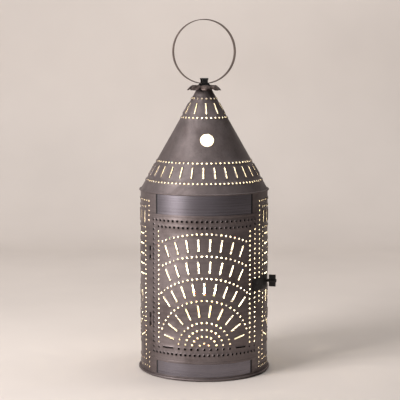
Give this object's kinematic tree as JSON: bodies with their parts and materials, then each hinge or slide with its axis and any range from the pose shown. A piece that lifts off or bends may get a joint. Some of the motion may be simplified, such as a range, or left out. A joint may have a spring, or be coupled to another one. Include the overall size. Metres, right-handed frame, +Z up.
{
  "type": "candle lantern",
  "caption": "Round punched-tin candle lantern with a conical hood, petal collar, carrying ring and a hinged pierced door held by a turn-button latch.",
  "frame": {"origin": "centre of the underside of the base pan", "axes": "+Z up to the carrying ring, the door faces -Y, the door hinges are on the -X side and the latch on the +X side"},
  "size_m": [0.2717, 0.26, 0.686],
  "materials": {
    "aged_tin": "dark antiqued tin, brushed, with brown patina",
    "inner_tin": "dull grey tin and steel wire",
    "band_tin": "smoother tin with level brush marks",
    "splice_black": "matte black",
    "collar_tin": "dark mottled brown patina",
    "black_iron": "black, satin, worn at the edges",
    "ring_steel": "brown antiqued strap steel",
    "hinge_steel": "dark antiqued steel",
    "cup_tin": "dull grey tin",
    "wax": "ivory wax, softly translucent",
    "wick": "charred cotton"
  },
  "bodies": {
    "lantern": {"base_pan": "aged_tin", "base_rim_wire": "inner_tin", "body_sheet": "aged_tin", "header_band": "band_tin", "sill_band": "band_tin", "header_splice_left": "splice_black", "header_splice_right": "splice_black", "sill_splice_left": "splice_black", "sill_splice_right": "splice_black", "hood_seat_ring": "inner_tin", "hood_cone": "aged_tin", "hood_rim_wire": "inner_tin", "hood_seam": "aged_tin", "petal_collar": "collar_tin", "collar_washer": "black_iron", "ring_eye": "black_iron", "eye_rivet": "black_iron", "upper_hinge_body_leaf": "hinge_steel", "upper_hinge_pin": "hinge_steel", "lower_hinge_body_leaf": "hinge_steel", "lower_hinge_pin": "hinge_steel", "body_hinge_rivets": "hinge_steel", "latch_stud": "black_iron", "stud_nut": "inner_tin", "stud_cap": "black_iron", "candle_cup": "cup_tin", "cup_rivets": "cup_tin"},
    "door": {"door_panel": "aged_tin", "upper_hinge_door_leaf": "hinge_steel", "lower_hinge_door_leaf": "hinge_steel", "door_hinge_rivets": "hinge_steel", "latch_hasp": "black_iron", "hasp_rivets": "black_iron"},
    "turn_button": {"turn_button": "black_iron"},
    "carrying_ring": {"carrying_ring": "ring_steel"},
    "candle": {"candle": "wax", "wick": "wick"}
  },
  "joints": [
    {"name": "door_hinge", "type": "hinge", "parent": "lantern", "child": "door", "pos_m": [-0.10486, -0.07254, 0.175], "axis": [0, 0, -1], "range_deg": [0, 150]},
    {"name": "latch_turn", "type": "hinge", "parent": "lantern", "child": "turn_button", "pos_m": [0.12683, -0.03398, 0.179], "axis": [0.9659, -0.2588, 0], "range_deg": [0, 90]},
    {"name": "ring_swing", "type": "hinge", "parent": "lantern", "child": "carrying_ring", "pos_m": [0, 0, 0.5652], "axis": [0.9703, 0.2419, 0], "range_deg": [-80, 80]},
    {"name": "candle_lift", "type": "slide", "parent": "lantern", "child": "candle", "axis": [0, 0, 1], "range_m": [0, 0.03]}
  ]
}
